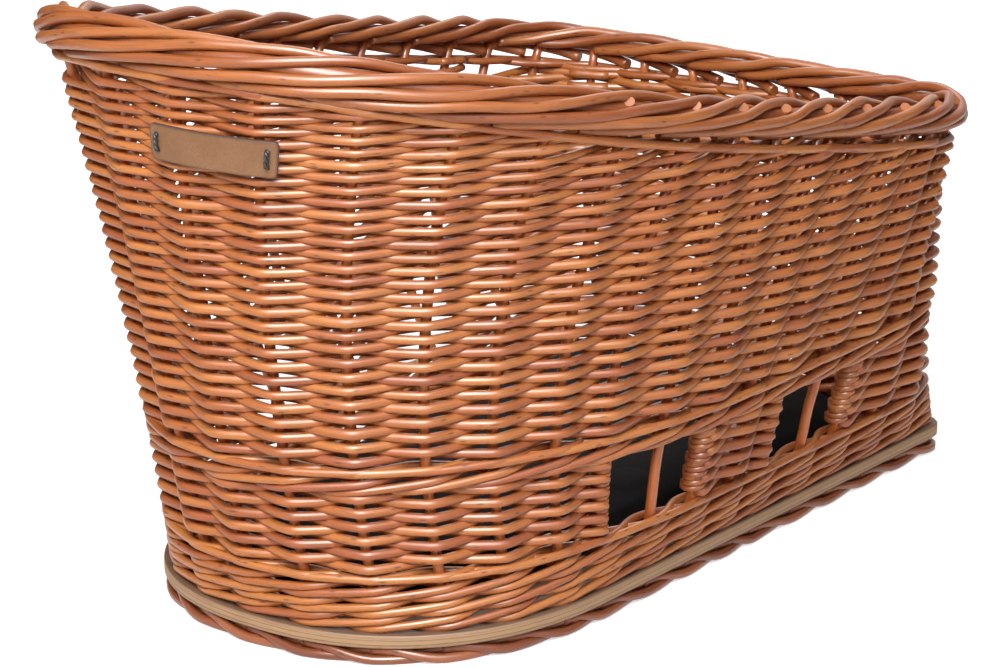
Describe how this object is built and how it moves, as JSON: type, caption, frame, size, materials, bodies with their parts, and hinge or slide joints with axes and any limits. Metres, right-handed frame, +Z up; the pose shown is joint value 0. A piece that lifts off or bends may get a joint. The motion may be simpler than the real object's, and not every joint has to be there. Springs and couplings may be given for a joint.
{
  "type": "bicycle pet basket",
  "caption": "Tall-fronted willow basket on a plywood board, with side windows, a rolled rim and a lift-out floor cushion, for carrying a small pet on a bicycle.",
  "frame": {"origin": "on the ground under the middle of the basket's length and width", "axes": "+X from the tall rounded front to the low back, +Y to the right of a pet looking forwards over the front, +Z up"},
  "size_m": [0.6059, 0.382, 0.3685],
  "materials": {
    "weave_willow": "boiled brown willow, peeled and smooth, satin",
    "stake_willow": "boiled brown willow, peeled and smooth, satin",
    "border_willow": "boiled brown willow, peeled and smooth, satin",
    "foot_willow": "dark brown willow, peeled and smooth, satin",
    "plywood": "bare plywood, plies showing at the edge, matt",
    "cushion_cloth": "black woven cloth, matt",
    "label_leather": "tan leather, plain, matt",
    "lace": "dark waxed lace"
  },
  "bodies": {
    "basket": {"base_board": "plywood", "foot_border": "foot_willow", "stake_01": "stake_willow", "stake_02": "stake_willow", "stake_03": "stake_willow", "stake_04": "stake_willow", "stake_05": "stake_willow", "stake_06": "stake_willow", "stake_07": "stake_willow", "stake_08": "stake_willow", "stake_09": "stake_willow", "stake_10": "stake_willow", "stake_11": "stake_willow", "stake_12": "stake_willow", "stake_13": "stake_willow", "stake_14": "stake_willow", "stake_15": "stake_willow", "stake_16": "stake_willow", "stake_17": "stake_willow", "stake_18": "stake_willow", "stake_19": "stake_willow", "stake_20": "stake_willow", "stake_21": "stake_willow", "stake_22": "stake_willow", "stake_23": "stake_willow", "stake_24": "stake_willow", "stake_25": "stake_willow", "stake_26": "stake_willow", "stake_27": "stake_willow", "stake_28": "stake_willow", "stake_29": "stake_willow", "stake_30": "stake_willow", "stake_31": "stake_willow", "stake_32": "stake_willow", "stake_33": "stake_willow", "stake_34": "stake_willow", "stake_35": "stake_willow", "stake_36": "stake_willow", "lower_wale": "weave_willow", "window_weave_front": "weave_willow", "window_weave_left": "weave_willow", "window_weave_back": "weave_willow", "window_weave_right": "weave_willow", "middle_wale": "weave_willow", "upper_weave": "weave_willow", "top_wale": "weave_willow", "rim_border": "border_willow", "leather_label": "label_leather", "label_lace_left": "lace", "label_lace_right": "lace"},
    "cushion": {"floor_cushion": "cushion_cloth"}
  },
  "joints": [
    {"name": "cushion_lift", "type": "slide", "parent": "basket", "child": "cushion", "axis": [0, 0, 1], "range_m": [0, 0.36]}
  ]
}
